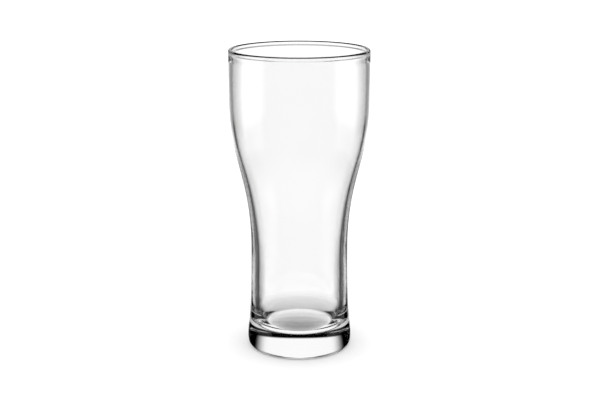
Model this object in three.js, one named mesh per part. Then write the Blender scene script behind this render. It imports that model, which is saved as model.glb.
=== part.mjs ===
// A tall pint glass: one piece of clear soda-lime glass with a heavy foot, a narrow waist,
// a wide upper bowl and a rounded, fire-polished lip.
// Millimetres, +Z up. The origin is the centre of the ring that the glass stands on.
import * as THREE from 'three';

const height = 186; // table to the top of the lip
const facetsAround = 72; // a multiple of four, so the widest points lie on X and Y

// Underside: a flat ring touches the table and the middle is pressed up a little.
const bearingRingInner = 23;
const underRise = 0.1;

// Outside wall, from the foot to the waist to the bowl. The heel is a tall, narrow quarter ellipse.
const footRadius = 32.4;
const heelWidth = 1.6;
const heelRise = 5.4;
const waistRadius = 30.08;
const waistHeight = 62.9;
const bowlRadius = 42.43;
const bowlHeight = 155.7;
const shoulderRadius = 42.6;
const shoulderHeight = 178;

// Inside wall, from the lip down to the narrow well above the foot.
const boreTopRadius = 40.1;
const boreTopHeight = 157;
const wellRadius = 25.2;
const wellHeight = 43.5;

// Inside floor: the wall draws in gently above it, and its middle is slightly raised.
const floorHeight = 13.3;
const floorEdgeRadius = 20;
const floorCrown = 0.3;
const cornerHeight = 27;
const cornerHold = 9;
const floorEdgeHold = 3;

// Lip: a tall oval bead that is flush with the wall outside, with a shallow neck under it inside.
const lipWidth = 1.25;
const lipRise = 1.75;
const lipRadius = shoulderRadius - lipWidth;
const lipHeight = height - lipRise;
const lipBelow = Math.PI / 6; // how far the bead's inner side reaches below its own centre
const neckReach = 0.6;
// How far the neck leans back to the wall for each millimetre of its reach: it runs on from the bead.
const neckLean = Math.tan(lipBelow) * lipWidth / lipRise;

// How strongly each end of a wall curve holds its vertical direction.
const footHold = 7;
const waistHoldBelow = 43.2;
const waistHoldAbove = 45.6;
const bowlHold = 39.9;
const shoulderHold = 8;
const boreTopHold = 47.9;
const wellHold = 70;

function at(radius, z) {
  return new THREE.Vector2(radius, z);
}

// A wall curve that leaves and arrives vertically, from one point to another.
function wallCurve(start, startHold, end, endHold) {
  const direction = Math.sign(end.y - start.y);
  const startHandle = at(start.x, start.y + direction * startHold);
  const endHandle = at(end.x, end.y - direction * endHold);
  return new THREE.CubicBezierCurve(start, startHandle, endHandle, end);
}

const foot = at(footRadius, heelRise);
const waist = at(waistRadius, waistHeight);
const bowl = at(bowlRadius, bowlHeight);
const shoulder = at(shoulderRadius, shoulderHeight);
const innerShoulder = at(boreTopRadius, shoulderHeight);
const boreTop = at(boreTopRadius, boreTopHeight);
const well = at(wellRadius, wellHeight);
const cornerTop = at(wellRadius, cornerHeight);
const floorEdge = at(floorEdgeRadius, floorHeight);
const heelEdge = at(footRadius - heelWidth, 0);
const lipStart = at(lipRadius + lipWidth, lipHeight);
const beadEnd = at(
  lipRadius - lipWidth * Math.cos(lipBelow),
  lipHeight - lipRise * Math.sin(lipBelow),
);

// The outline runs from the axis under the foot, up the outside, over the lip, down the
// inside and back to the axis on the floor. Each stretch has the steps that it needs.
const outline = [
  {
    curve: new THREE.QuadraticBezierCurve(
      at(0, underRise), at(bearingRingInner / 2, underRise), at(bearingRingInner, 0)),
    steps: 3,
  },
  { curve: new THREE.LineCurve(at(bearingRingInner, 0), heelEdge), steps: 1 },
  {
    curve: new THREE.EllipseCurve(
      heelEdge.x, heelRise, heelWidth, heelRise, -Math.PI / 2, 0, false),
    steps: 6,
  },
  { curve: wallCurve(foot, footHold, waist, waistHoldBelow), steps: 5 },
  { curve: wallCurve(waist, waistHoldAbove, bowl, bowlHold), steps: 10 },
  { curve: wallCurve(bowl, shoulderHold, shoulder, shoulderHold), steps: 2 },
  { curve: new THREE.LineCurve(shoulder, lipStart), steps: 1 },
  {
    curve: new THREE.EllipseCurve(
      lipRadius, lipHeight, lipWidth, lipRise, 0, Math.PI + lipBelow, false),
    steps: 9,
  },
  {
    curve: new THREE.CubicBezierCurve(
      beadEnd,
      at(beadEnd.x + neckLean * neckReach, beadEnd.y - neckReach),
      at(innerShoulder.x, (innerShoulder.y + beadEnd.y) / 2),
      innerShoulder),
    steps: 4,
  },
  { curve: new THREE.LineCurve(innerShoulder, boreTop), steps: 1 },
  { curve: wallCurve(boreTop, boreTopHold, well, wellHold), steps: 12 },
  { curve: new THREE.LineCurve(well, cornerTop), steps: 1 },
  {
    curve: new THREE.CubicBezierCurve(
      cornerTop,
      at(wellRadius, cornerHeight - cornerHold),
      at(floorEdgeRadius + floorEdgeHold, floorHeight),
      floorEdge),
    steps: 8,
  },
  {
    curve: new THREE.QuadraticBezierCurve(
      floorEdge, at(floorEdge.x / 2, floorHeight + floorCrown), at(0, floorHeight + floorCrown)),
    steps: 3,
  },
];

// Each stretch starts where the one before it ends, so its first point is left out.
const outlinePoints = [at(0, underRise)];
for (const { curve, steps } of outline) {
  outlinePoints.push(...curve.getPoints(steps).slice(1));
}

const clearGlass = new THREE.MeshStandardMaterial({
  color: 0xe9eeec,
  roughness: 0.02,
  metalness: 0,
  transparent: true,
  opacity: 0.35,
});

const glassShape = new THREE.LatheGeometry(outlinePoints, facetsAround);
glassShape.rotateX(Math.PI / 2);
const glassBody = new THREE.Mesh(glassShape, clearGlass);
glassBody.name = 'glass_body';

const pintGlass = new THREE.Group();
pintGlass.name = 'pint_glass';
pintGlass.add(glassBody);

export default pintGlass;
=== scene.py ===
# %% [markdown]
# # A tall pint glass
# The glass is one moulded piece: a heavy round foot, a narrow waist, a wide bowl and a fire-polished lip.
# Nothing is joined to it and nothing moves, so all its character is in one outline and in clear material.
# This lesson turns that outline round its axis with Geometry Nodes and fills it with glass. Then it builds
# the small studio that clear glass needs, because glass shows nothing but what stands round it.

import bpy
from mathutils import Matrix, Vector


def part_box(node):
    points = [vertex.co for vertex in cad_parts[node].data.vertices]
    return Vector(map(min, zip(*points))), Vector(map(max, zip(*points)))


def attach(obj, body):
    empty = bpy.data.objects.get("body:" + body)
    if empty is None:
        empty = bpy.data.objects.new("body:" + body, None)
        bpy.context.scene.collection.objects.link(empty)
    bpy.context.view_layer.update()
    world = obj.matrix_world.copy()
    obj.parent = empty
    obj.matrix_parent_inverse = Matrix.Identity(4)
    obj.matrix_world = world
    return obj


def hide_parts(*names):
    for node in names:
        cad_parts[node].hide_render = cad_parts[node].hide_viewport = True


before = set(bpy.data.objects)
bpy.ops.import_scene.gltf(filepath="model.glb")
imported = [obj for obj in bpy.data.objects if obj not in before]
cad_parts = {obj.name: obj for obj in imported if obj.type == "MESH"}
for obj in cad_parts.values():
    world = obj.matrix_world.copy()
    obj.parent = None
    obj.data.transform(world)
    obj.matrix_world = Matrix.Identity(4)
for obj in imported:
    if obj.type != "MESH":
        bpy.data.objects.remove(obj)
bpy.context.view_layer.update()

# %% Tools used below
import math

import bmesh
import bpy
from mathutils import Matrix

scene = bpy.context.scene
mm = 0.001
print("Blender", bpy.app.version_string)

# %% [markdown]
# ## The sizes of the glass
# The height and the widest radius come from the frame, so the finished glass fills the same box as the
# solid that it stands for. The other sizes are the places where a glassmaker would put a gauge: the foot,
# the waist, the bowl, the bore, the well and the floor. Each becomes a named input of the tree below,
# because a shape that is made from named sizes is easy to correct.

# %% Sizes
glass_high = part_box("glass_body")[1]
height = glass_high[2]
widest_radius = glass_high[0]
lip_width = 1.25 * mm

sizes = {
    "Height": height,
    "Ring Inner Radius": 23 * mm,
    "Underside Rise": 0.1 * mm,
    "Foot Radius": 32.4 * mm,
    "Heel Width": 1.6 * mm,
    "Heel Rise": 5.4 * mm,
    "Waist Radius": 30.08 * mm,
    "Waist Height": 62.9 * mm,
    "Bowl Radius": 42.43 * mm,
    "Bowl Height": 155.7 * mm,
    "Shoulder Radius": widest_radius,
    "Shoulder Height": 178 * mm,
    "Lip Radius": widest_radius - lip_width,
    "Lip Width": lip_width,
    "Lip Rise": 1.75 * mm,
    "Bore Radius": 40.1 * mm,
    "Bore Height": 157 * mm,
    "Well Radius": 25.2 * mm,
    "Well Height": 43.5 * mm,
    "Corner Height": 27 * mm,
    "Floor Edge Radius": 20 * mm,
    "Floor Height": 13.3 * mm,
    "Floor Crown": 0.3 * mm,
    "Wave Depth": 0.08 * mm,
    "Wave Seed": 4.0,
}
print("height", round(height / mm, 2), "mm, widest", round(2 * widest_radius / mm, 2), "mm")


# %% [markdown]
# ## Node trees written as sums
# A tree of Math nodes is hard to read, and a sum is not. Number wraps one socket, and Python's own
# operators add the Math nodes behind it, also where a plain number stands first, as in 1 - mask.
# Every other node comes from Nodes.add, which takes its type, its settings and then its inputs.

# %% Nodes and Number
class Nodes:
    """Adds nodes to one tree: the settings go in first, then the values or links."""

    def __init__(self, tree):
        self.tree = tree

    def add(self, kind, settings=None, inputs=None):
        node = self.tree.nodes.new(kind)
        for name, value in (settings or {}).items():
            setattr(node, name, value)
        for key, value in (inputs or {}).items():
            self.feed(node.inputs[key], value)
        return node

    def feed(self, socket, value):
        if isinstance(value, Number):
            value = value.socket
        if isinstance(value, bpy.types.NodeSocket):
            self.tree.links.new(value, socket)
        else:
            socket.default_value = value

    def math(self, operation, *values):
        node = self.add("ShaderNodeMath", {"operation": operation}, dict(enumerate(values)))
        return Number(self, node.outputs[0])

    def split(self, vector):
        """The three numbers of a vector."""
        parts = self.add("ShaderNodeSeparateXYZ", inputs={0: vector})
        return [Number(self, socket) for socket in parts.outputs]

    def join(self, x, y, z):
        """A vector from three numbers."""
        return self.add("ShaderNodeCombineXYZ", inputs={0: x, 1: y, 2: z}).outputs[0]


class Number:
    """One number in a tree, which Python's operators can work on."""

    def __init__(self, nodes, socket):
        self.nodes = nodes
        self.socket = socket

    def __add__(self, other):
        return self.nodes.math("ADD", self, other)

    def __radd__(self, other):
        return self.nodes.math("ADD", other, self)

    def __sub__(self, other):
        return self.nodes.math("SUBTRACT", self, other)

    def __rsub__(self, other):
        return self.nodes.math("SUBTRACT", other, self)

    def __mul__(self, other):
        return self.nodes.math("MULTIPLY", self, other)

    def __rmul__(self, other):
        return self.nodes.math("MULTIPLY", other, self)

    def __truediv__(self, other):
        return self.nodes.math("DIVIDE", self, other)

    def __abs__(self):
        return self.nodes.math("ABSOLUTE", self)


print("Nodes and Number ready")


# %% Masks from a number
def step_between(value, start, end, shape="SMOOTHSTEP"):
    """0 up to start and 1 from end on, with a rise of the given shape between them."""
    settings = {"interpolation_type": shape}
    inputs = {"Value": value, "From Min": start, "From Max": end}
    return Number(value.nodes, value.nodes.add("ShaderNodeMapRange", settings, inputs).outputs[0])


def window(value, low, high, margin):
    """1 between low and high and 0 outside them, with a soft margin at both ends."""
    opens = step_between(value, low - margin / 2, low + margin / 2)
    closes = step_between(value, high - margin / 2, high + margin / 2)
    return opens * (1 - closes)


print("masks ready")

# %% [markdown]
# ## The outline, as a tree
# A glass like this is blown in a mould while it spins, so every level section is a circle. A Screw
# modifier on a drawn edge would also turn it, but a tree keeps every size as an input that can be changed.
# The outline is a chain of short curves that meet end to end. It starts on the axis under the foot, goes
# up the outside, over the lip, down the inside and back to the axis on the floor.

# %% Start the tree with its named inputs
turned = bpy.data.node_groups.new("turned_glass", "GeometryNodeTree")
turned.interface.new_socket("Geometry", in_out="OUTPUT", socket_type="NodeSocketGeometry")
for size_name in sizes:
    turned.interface.new_socket(size_name, in_out="INPUT", socket_type="NodeSocketFloat")
turned.interface.new_socket("Steps Around", in_out="INPUT", socket_type="NodeSocketInt")
turned.interface.new_socket("Glass", in_out="INPUT", socket_type="NodeSocketMaterial")
turning = Nodes(turned)
given = turning.add("NodeGroupInput").outputs
size = {size_name: Number(turning, given[size_name]) for size_name in sizes}
print("named sizes", len(size))

# %% Curves between two places on the outline
path_radius = 50 * mm
round_handle = 0.5523


def at(radius, level):
    """A place on the outline, measured from the circle that it will be carried round."""
    return turning.join(radius - path_radius, level, 0)


def bend(start, start_handle, end_handle, end, steps):
    """A smooth stretch of the outline, given by four pairs of radius and level."""
    inputs = {
        "Resolution": steps,
        "Start": at(*start),
        "Start Handle": at(*start_handle),
        "End Handle": at(*end_handle),
        "End": at(*end),
    }
    return turning.add("GeometryNodeCurvePrimitiveBezierSegment", inputs=inputs).outputs[0]


def between(start, end, share):
    """The place that lies a share of the way from start to end."""
    return tuple(a + share * (b - a) for a, b in zip(start, end))


def straight(start, end, steps):
    """A straight stretch of the outline."""
    return bend(start, between(start, end, 1 / 3), between(start, end, 2 / 3), end, steps)


def wall(start, start_hold, end, end_hold, steps):
    """A wall that is upright at both ends. A longer hold keeps it upright for longer."""
    start_handle = (start[0], start[1] + start_hold)
    end_handle = (end[0], end[1] - end_hold)
    return bend(start, start_handle, end_handle, end, steps)


print("curve makers ready, path radius", round(path_radius / mm, 1), "mm")

# %% The places where the curves meet
table_level = 0 * size["Height"]
ring_start = (size["Ring Inner Radius"], table_level)
heel_start = (size["Foot Radius"] - size["Heel Width"], table_level)
foot = (size["Foot Radius"], size["Heel Rise"])
waist = (size["Waist Radius"], size["Waist Height"])
bowl = (size["Bowl Radius"], size["Bowl Height"])
shoulder = (size["Shoulder Radius"], size["Shoulder Height"])
inner_shoulder = (size["Bore Radius"], size["Shoulder Height"])
bore = (size["Bore Radius"], size["Bore Height"])
well = (size["Well Radius"], size["Well Height"])
corner = (size["Well Radius"], size["Corner Height"])
floor_edge = (size["Floor Edge Radius"], size["Floor Height"])
floor_top = size["Floor Height"] + size["Floor Crown"]
lip_level = size["Height"] - size["Lip Rise"]
print("foot, waist, bowl and bore placed")

# %% [markdown]
# ## Foot and outside wall
# The foot stands on a flat ring, and its middle is raised by about the thickness of a sheet of paper. The
# heel is a tall, narrow quarter of an ellipse: it is what draws the dark band round a thick glass foot.
# The wall above it is two long curves, upright at the heel, the waist and the bowl, so that they run on
# into each other with no edge.

# %% Underside, heel and outside wall
foot_hold = 7 * mm
waist_hold_below = 43.2 * mm
waist_hold_above = 45.6 * mm
bowl_hold = 39.9 * mm
shoulder_hold = 8 * mm
underside = bend(
    (table_level, size["Underside Rise"]),
    (ring_start[0] / 3, size["Underside Rise"]),
    (ring_start[0] * (2 / 3), size["Underside Rise"] / 3),
    ring_start,
    16,
)
bearing_ring = straight(ring_start, heel_start, 4)
heel = bend(
    heel_start,
    (heel_start[0] + round_handle * size["Heel Width"], table_level),
    (foot[0], foot[1] * (1 - round_handle)),
    foot,
    24,
)
lower_wall = wall(foot, foot_hold, waist, waist_hold_below, 34)
upper_wall = wall(waist, waist_hold_above, bowl, bowl_hold, 48)
shoulder_wall = wall(bowl, shoulder_hold, shoulder, shoulder_hold, 10)
print("outside wall drawn")

# %% [markdown]
# ## The lip
# The cut edge of a glass is melted in a flame until it draws itself into a bead. Here the bead is an oval,
# flush with the wall outside, and a shallow neck leads down from it inside. The two fine lines round the
# top of the glass come from the bead's crown and from that neck, so both are real shape, not shading.

# %% Bead and neck
bead_below = math.radians(30)
round_arc = turning.add(
    "GeometryNodeCurveArc",
    {"mode": "RADIUS"},
    {"Resolution": 28, "Radius": 1, "Start Angle": 0, "Sweep Angle": math.pi + bead_below},
)
bead = turning.add(
    "GeometryNodeTransform",
    inputs={
        "Geometry": round_arc.outputs[0],
        "Translation": at(size["Lip Radius"], lip_level),
        "Scale": turning.join(size["Lip Width"], size["Lip Rise"], 1),
    },
).outputs[0]
lip_start = (size["Lip Radius"] + size["Lip Width"], lip_level)
lip_wall = straight(shoulder, lip_start, 8)
bead_end = (
    size["Lip Radius"] - math.cos(bead_below) * size["Lip Width"],
    lip_level - math.sin(bead_below) * size["Lip Rise"],
)
neck_reach = 0.6 * mm
neck_lean = math.tan(bead_below) * size["Lip Width"] / size["Lip Rise"]
neck = bend(
    bead_end,
    (bead_end[0] + neck_lean * neck_reach, bead_end[1] - neck_reach),
    (inner_shoulder[0], (inner_shoulder[1] + bead_end[1]) / 2),
    inner_shoulder,
    12,
)
print("lip drawn")

# %% [markdown]
# ## Inside wall and floor
# Inside, the bowl narrows in one long curve to a well, so the glass is thin at the top and thick at the
# waist. Above the floor the well draws in gently, as a plunger or a breath of air leaves it.

# %% Bore, well, corner and floor
bore_hold = 47.9 * mm
well_hold = 70 * mm
corner_hold = 9 * mm
floor_edge_hold = 3 * mm
bore_wall = straight(inner_shoulder, bore, 10)
inner_wall = wall(bore, -bore_hold, well, -well_hold, 60)
well_wall = straight(well, corner, 12)
corner_bend = bend(
    corner,
    (corner[0], corner[1] - corner_hold),
    (floor_edge[0] + floor_edge_hold, floor_edge[1]),
    floor_edge,
    40,
)
floor_bend = bend(
    floor_edge,
    (floor_edge[0] * (2 / 3), floor_edge[1] + size["Floor Crown"] * (2 / 3)),
    (floor_edge[0] / 3, floor_top),
    (table_level, floor_top),
    12,
)
outside = [underside, bearing_ring, heel, lower_wall, upper_wall, shoulder_wall, lip_wall, bead]
inside = [neck, bore_wall, inner_wall, well_wall, corner_bend, floor_bend]
print("stretches in the outline", len(outside + inside))

# %% [markdown]
# ## Turning the outline
# Curve to Mesh carries the whole outline round a level circle. It hangs the outline upside down, so the
# sweep is turned over about a level axis, which a turned shape doesn't notice. Neighbouring strips share
# their edge points and both ends lie on the axis, so Merge by Distance closes the seams and the poles.

# %% Sweep and close
chain = turning.add("GeometryNodeJoinGeometry")
for stretch in reversed(outside + inside):
    turned.links.new(stretch, chain.inputs[0])
circle = turning.add(
    "GeometryNodeCurvePrimitiveCircle",
    {"mode": "RADIUS"},
    {"Resolution": given["Steps Around"], "Radius": path_radius},
)
path = turning.add("GeometryNodeSetCurveNormal", {"mode": "Z_UP"}, {"Curve": circle.outputs[0]})
sweep = turning.add(
    "GeometryNodeCurveToMesh",
    inputs={"Curve": path.outputs[0], "Profile Curve": chain.outputs[0]},
)
upright = turning.add(
    "GeometryNodeTransform",
    inputs={"Geometry": sweep.outputs[0], "Rotation": (math.pi, 0, 0)},
)
closed = turning.add(
    "GeometryNodeMergeByDistance",
    inputs={"Geometry": upright.outputs[0], "Distance": 0.002 * mm},
)
print("nodes in the tree", len(turned.nodes))

# %% [markdown]
# ## A wave in the well
# The inside of a moulded wall is never quite even. The hot glass settles in faint rings, a few hundredths
# of a millimetre deep and some 3 mm apart, which break up the dark lines beside the thick lower wall.
# Noise with a fixed seed pushes the well's points in and out. Masks keep it to the well, and fade it out
# above the floor and towards the bowl.

# %% Rings of noise, and the end of the tree
ring_length = 14 * mm
ring_spacing = 3 * mm
wave_starts = (22 * mm, 30 * mm)
wave_ends = (60 * mm, 90 * mm)
across, along, level = turning.split(turning.add("GeometryNodeInputPosition").outputs[0])
radius = turning.math("SQRT", across * across + along * along)
rings = turning.add(
    "ShaderNodeTexNoise",
    {"noise_dimensions": "4D"},
    {
        "Vector": turning.join(across / ring_length, along / ring_length, level / ring_spacing),
        "W": given["Wave Seed"],
        "Scale": 1,
        "Detail": 1,
        "Roughness": 0.4,
    },
)
in_well = 1 - step_between(radius, size["Well Radius"] + 0.6 * mm, size["Well Radius"] + 2 * mm)
on_wall = step_between(level, *wave_starts) * (1 - step_between(level, *wave_ends))
push = size["Wave Depth"] * (Number(turning, rings.outputs[0]) - 0.5) * in_well * on_wall / radius
waved = turning.add(
    "GeometryNodeSetPosition",
    inputs={"Geometry": closed.outputs[0], "Offset": turning.join(across * push, along * push, 0)},
)
smooth = turning.add("GeometryNodeSetShadeSmooth", inputs={"Geometry": waved.outputs[0]})
realized = turning.add("GeometryNodeRealizeInstances", inputs={"Geometry": smooth.outputs[0]})
finished = turning.add(
    "GeometryNodeSetMaterial",
    inputs={"Geometry": realized.outputs[0], "Material": given["Glass"]},
)
turning.add("NodeGroupOutput", inputs={0: finished.outputs[0]})
print("nodes in the finished tree", len(turned.nodes))

# %% [markdown]
# ## Clear soda-lime glass
# The glass is fire-polished and almost without colour. A plain glass shader would do from afar, but a real
# one carries three small things: cords, which are faint upright streaks where the melt wasn't quite mixed,
# a slightly uneven clearness, and a ring of fine scratches where the foot slides on bars and shelves.
# The cords are a bump of a few thousandths of a millimetre, and the scratches are roughness on the ring.

# %% Glass material
clear_glass = bpy.data.materials.new("clear_glass")
clear_glass.use_nodes = True
clear_glass.node_tree.nodes.clear()
melt = Nodes(clear_glass.node_tree)
glass_place = melt.add("ShaderNodeTexCoord").outputs["Object"]
glass_x, glass_y, glass_level = melt.split(glass_place)
glass_radius = melt.math("SQRT", glass_x * glass_x + glass_y * glass_y)

cord_width = 9 * mm
cord_length = 120 * mm
cords = melt.add(
    "ShaderNodeTexNoise",
    inputs={
        "Vector": melt.join(glass_x / cord_width, glass_y / cord_width, glass_level / cord_length),
        "Scale": 1,
        "Detail": 1,
    },
)
cord_bump = melt.add(
    "ShaderNodeBump",
    inputs={"Strength": 1, "Distance": 0.004 * mm, "Height": cords.outputs[0]},
)
clearness = melt.add(
    "ShaderNodeMix",
    {"data_type": "RGBA"},
    {0: cords.outputs[0], 6: (0.985, 0.985, 0.985, 1), 7: (1, 1, 1, 1)},
)

scratch_width = 0.5 * mm
scratch_length = 4 * mm
scratch_place = melt.join(glass_x / scratch_width, glass_y / scratch_length, 0)
scratches = melt.add("ShaderNodeTexNoise", inputs={"Vector": scratch_place, "Scale": 1, "Detail": 3})
scratched = step_between(Number(melt, scratches.outputs[0]), 0.55, 0.7)
on_ring = step_between(glass_radius, 27 * mm, 29 * mm) * (1 - step_between(glass_level, 0.05 * mm, 0.3 * mm))
ring_wear = 0.3 * scratched * on_ring
glass_shader = melt.add(
    "ShaderNodeBsdfPrincipled",
    inputs={
        "Base Color": clearness.outputs[2],
        "Roughness": ring_wear,
        "IOR": 1.52,
        "Transmission Weight": 1,
        "Normal": cord_bump.outputs[0],
    },
)
melt.add("ShaderNodeOutputMaterial", inputs={"Surface": glass_shader.outputs[0]})
print("nodes in the glass", len(clear_glass.node_tree.nodes))

# %% [markdown]
# ## The finished body
# A modifier's inputs are set by their sockets' identifiers, before the tree first runs. The result is then
# copied to a plain mesh of its own, and the object that carried the modifier is deleted. A glass has to be
# watertight, because light bends wrongly at every gap, so the cell counts open edges and measures it.

# %% Turn the glass into a plain mesh
steps_around = 256
choices = {**sizes, "Steps Around": steps_around, "Glass": clear_glass}
lathe_seat = bpy.data.objects.new("lathe_seat", bpy.data.meshes.new("lathe_seat"))
scene.collection.objects.link(lathe_seat)
lathe = lathe_seat.modifiers.new("turned glass", "NODES")
lathe.node_group = turned
for item in turned.interface.items_tree:
    if item.in_out == "INPUT":
        lathe[item.identifier] = choices[item.name]
turned_result = lathe_seat.evaluated_get(bpy.context.evaluated_depsgraph_get())
glass_mesh = bpy.data.meshes.new_from_object(turned_result)
bpy.data.objects.remove(lathe_seat)
glass_mesh.name = "clear_glass_body"
glass = bpy.data.objects.new("clear_glass_body", glass_mesh)
scene.collection.objects.link(glass)

check = bmesh.new()
check.from_mesh(glass_mesh)
open_edges = sum(len(edge.link_faces) != 2 for edge in check.edges)
triangles = sum(len(face.verts) - 2 for face in check.faces)
millilitres = check.calc_volume(signed=True) / mm**3 / 1000
check.free()
print("open edges", open_edges, "triangles", triangles, "glass in ml", round(millilitres, 1))

# %% [markdown]
# ## Camera
# The camera stands about three and a half glass heights away and looks down a little, so that the lip and
# the floor both show as flat ovals. A longish lens keeps the sides of the glass nearly parallel.

# %% Camera
camera_distance = 3.5916 * height
camera_height = 1.4404 * height
camera_side = 0.4 * mm
camera_pitch = math.radians(14.701)
lens = bpy.data.cameras.new("camera")
lens.lens = 67.117
lens.sensor_width = 36
lens.clip_end = 500
camera = bpy.data.objects.new("camera", lens)
camera.location = (camera_side, -camera_distance, camera_height)
camera.rotation_euler = (math.pi / 2 - camera_pitch, 0, 0)
scene.collection.objects.link(camera)
scene.camera = camera
bpy.context.view_layer.update()
print("camera at", [round(v, 3) for v in camera.location])


# %% [markdown]
# ## Floor and room
# The floor and the room are one even, pale white, just bright enough to be blank. The only mark on them is
# the narrow shade where the foot stands. The glass itself is lit another way, below, so it doesn't see
# this floor: that keeps its dark lines apart from the brightness of the room.

# %% Floor and room light
def bare_material(name):
    """A new material with an empty tree, and its Nodes."""
    material = bpy.data.materials.new(name)
    material.use_nodes = True
    material.node_tree.nodes.clear()
    return material, Nodes(material.node_tree)


floor_reach = 60
floor_level = -0.2 * mm
floor_mesh = bpy.data.meshes.new("pale_floor")
floor_corners = [(x * floor_reach, y * floor_reach, 0) for x, y in ((-1, -1), (1, -1), (1, 1), (-1, 1))]
floor_mesh.from_pydata(floor_corners, [], [(0, 1, 2, 3)])
floor = bpy.data.objects.new("pale_floor", floor_mesh)
floor.location.z = floor_level
floor.visible_transmission = False
floor.visible_glossy = False
scene.collection.objects.link(floor)

floor_paint, paint = bare_material("pale_floor")
paint_shader = paint.add(
    "ShaderNodeBsdfPrincipled",
    inputs={"Base Color": (0.9, 0.9, 0.9, 1), "Roughness": 1, "Specular IOR Level": 0},
)
paint.add("ShaderNodeOutputMaterial", inputs={"Surface": paint_shader.outputs[0]})
floor_mesh.materials.append(floor_paint)

room = bpy.data.worlds.new("pale_room")
room.use_nodes = True
room.node_tree.nodes["Background"].inputs["Color"].default_value = (1, 1, 1, 1)
room.node_tree.nodes["Background"].inputs["Strength"].default_value = 1.45
scene.world = room
print("floor and room ready")


# %% [markdown]
# ## The light tent
# Clear glass is best lit from behind: a lit backdrop fills the middle of the glass, and black on both
# sides draws its edges. Every soft box of such a set could be its own lamp, but one large shell that
# glows in the right directions is simpler and makes no noise. Its glow is a sum of boxes, each given by a
# range of headings, in degrees to either side of straight ahead, and a range of rises above the horizon.
# The shell hangs on the camera, so the backdrop is behind the glass from every side.

# %% Shell that only the glass sees
def show_only_to_glass(thing):
    """Keeps a light out of the picture and off the floor."""
    thing.visible_camera = False
    thing.visible_diffuse = False
    thing.visible_shadow = False
    thing.visible_volume_scatter = False


tent_radius = 2.5
tent_mesh = bpy.data.meshes.new("light_tent")
shell = bmesh.new()
bmesh.ops.create_icosphere(shell, subdivisions=4, radius=tent_radius)
shell.to_mesh(tent_mesh)
shell.free()
tent = bpy.data.objects.new("light_tent", tent_mesh)
scene.collection.objects.link(tent)
tent.parent = camera
tent.matrix_world = Matrix.Translation((0, 0, height / 2))
show_only_to_glass(tent)
print("tent faces", len(tent_mesh.polygons))

# %% Directions in the tent, in degrees
tent_glow, tent_nodes = bare_material("tent_glow")
degrees = 180 / math.pi
tent_place = tent_nodes.add("ShaderNodeTexCoord").outputs["Object"]
direction = tent_nodes.add("ShaderNodeVectorMath", {"operation": "NORMALIZE"}, {0: tent_place})
to_side, ahead, upward = tent_nodes.split(direction.outputs[0])
heading = abs(tent_nodes.math("ARCTAN2", to_side, ahead)) * degrees
rise = tent_nodes.math("ARCSINE", upward) * degrees
print("nodes for the directions", len(tent_glow.node_tree.nodes))

# %% Boxes of the tent
low_sides = 1 - step_between(heading, 16.5, 34.5, "LINEAR")
low_backdrop = 1.125 * low_sides * window(rise, -33, -11.5, 3)
high_sides = 1 - step_between(heading, 9, 24, "LINEAR")
high_backdrop = 1.125 * high_sides * window(rise, -11.5, -1, 3)
grey_wings = 0.3 * window(heading, 19, 46, 8) * window(rise, -11.5, -1, 3)
gap_middle = 0.35 + 0.2 * (1 - step_between(heading, 0, 8))
horizon_gap = gap_middle * (1 - step_between(heading, 9, 16)) * window(rise, -1, 10, 4)
raised_box = 1.05 * (1 - step_between(heading, 28, 50)) * window(rise, 9, 24, 3)
side_cards = 0.8 * window(heading, 48, 115, 12) * window(rise, -14, 0, 6)
low_cards = 0.45 * window(heading, 54, 115, 8) * window(rise, -26, -14, 6)
near_table = 0.25 * step_between(heading, 70, 90) * (1 - step_between(rise, -40, -30))
overhead = 0.4 * step_between(heading, 80, 100) * step_between(rise, 62, 68)
backdrop_light = low_backdrop + high_backdrop + grey_wings
other_light = horizon_gap + raised_box + side_cards + low_cards + near_table + overhead
tent_shader = tent_nodes.add("ShaderNodeEmission", inputs={"Strength": backdrop_light + other_light})
tent_nodes.add("ShaderNodeOutputMaterial", inputs={"Surface": tent_shader.outputs[0]})
tent_glow.cycles.emission_sampling = "NONE"
tent_mesh.materials.append(tent_glow)
print("nodes in the tent's glow", len(tent_glow.node_tree.nodes))


# %% [markdown]
# ## The table as the glass sees it
# Through its thick floor the glass looks down at the table under and just behind it. No table is built
# there.
# A small glowing disc stands in for it, with the table's shade and light painted into its glow: painted
# shade makes it dim in the middle of the foot, where little light gets in, brightening to the foot's edge,
# and behind the foot a painted glow carries on to the backdrop. The disc turns with the camera's heading but
# stays level, by a constraint that copies the turn about the upright axis only.

# %% Disc under and behind the foot
disc_radius = 90 * mm
disc_level = -0.3 * mm
turntable = bpy.data.objects.new("turntable", None)
scene.collection.objects.link(turntable)
follow = turntable.constraints.new("COPY_ROTATION")
follow.target = camera
follow.use_x = False
follow.use_y = False

disc_mesh = bpy.data.meshes.new("glowing_table")
plate = bmesh.new()
bmesh.ops.create_circle(plate, cap_ends=True, segments=96, radius=disc_radius)
plate.to_mesh(disc_mesh)
plate.free()
disc = bpy.data.objects.new("glowing_table", disc_mesh)
disc.location.z = disc_level
disc.parent = turntable
scene.collection.objects.link(disc)
show_only_to_glass(disc)
print("disc ready")
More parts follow.
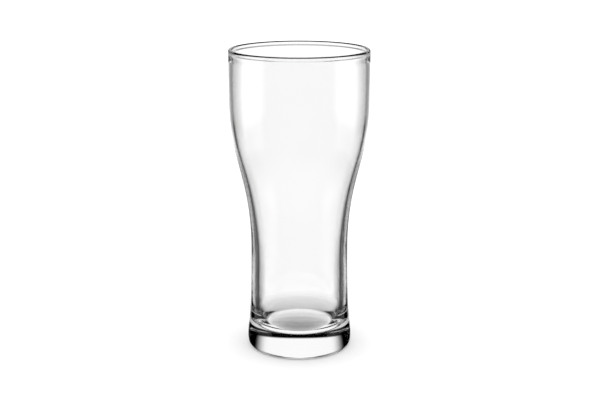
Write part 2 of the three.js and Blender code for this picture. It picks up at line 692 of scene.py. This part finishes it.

# %% Glow of the disc: painted shade under the foot, painted light behind it
table_glow, table_nodes = bare_material("table_glow")
disc_place = table_nodes.add("ShaderNodeTexCoord").outputs["Object"]
disc_x, disc_y = table_nodes.split(disc_place)[:2]
from_axis = table_nodes.math("SQRT", disc_x * disc_x + disc_y * disc_y)
disc_heading = abs(table_nodes.math("ARCTAN2", disc_x, disc_y)) * degrees

# Painted shade: the foot's contact shadow on the table, dim in the middle and brightening to the foot's
# edge.
foot_shade_ramp = table_nodes.add("ShaderNodeValToRGB", inputs={0: from_axis / disc_radius})
foot_shade_stops = foot_shade_ramp.color_ramp.elements
foot_shade_stops[1].position = 30 * mm / disc_radius
foot_shade_stops[0].color = (0.33, 0.33, 0.33, 1)
for stop_radius, glow in ((8 * mm, 0.36), (14 * mm, 0.5), (19 * mm, 0.72), (24 * mm, 0.98)):
    foot_shade_stops.new(stop_radius / disc_radius).color = (glow, glow, glow, 1)

past_foot = step_between(from_axis, 31 * mm, 33 * mm)
straight_behind = 1 - step_between(disc_heading, 40, 60)
# Painted light: the lit table behind the foot, with painted shade next to the foot that fades out towards
# the disc's edge.
painted_light_behind_foot = straight_behind * (0.68 + 0.32 * step_between(from_axis, 33 * mm, disc_radius))
painted_shade_under_foot = (1 - past_foot) * Number(table_nodes, foot_shade_ramp.outputs[0])
# The disc's whole glow is painted light and shade standing in for the table, not a lamp.
painted_table_light = 1.08 * (painted_shade_under_foot + past_foot * painted_light_behind_foot)
table_shader = table_nodes.add("ShaderNodeEmission", inputs={"Strength": painted_table_light})
see_through = table_nodes.add("ShaderNodeBsdfTransparent")
disc_edge = step_between(from_axis, 0.7 * disc_radius, disc_radius)
disc_shader = table_nodes.add(
    "ShaderNodeMixShader",
    inputs={0: disc_edge, 1: table_shader.outputs[0], 2: see_through.outputs[0]},
)
table_nodes.add("ShaderNodeOutputMaterial", inputs={"Surface": disc_shader.outputs[0]})
table_glow.cycles.emission_sampling = "NONE"
disc_mesh.materials.append(table_glow)
print("nodes in the table's glow", len(table_glow.node_tree.nodes))

# %% [markdown]
# ## Picture settings
# Light crosses four or more surfaces on its way through the bowl, and bounces many times in the foot.
# With too few bounces the foot turns black, so the limits are raised. The plain view keeps whites white.

# %% View and bounces
scene.view_settings.view_transform = "Standard"
scene.cycles.max_bounces = 24
scene.cycles.transmission_bounces = 24
scene.cycles.glossy_bounces = 12
scene.cycles.transparent_max_bounces = 16
print("bounces", scene.cycles.max_bounces)

# %% [markdown]
# ## Joining the frame
# The finished glass rides on the frame's only body, takes the place of the plain solid, and uses its clear
# glass slot. The floor, the tent and the disc are stage, not object.

# %% Frame calls
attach(glass, "root")
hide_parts("glass_body")
print("joined to the frame:", glass.name)
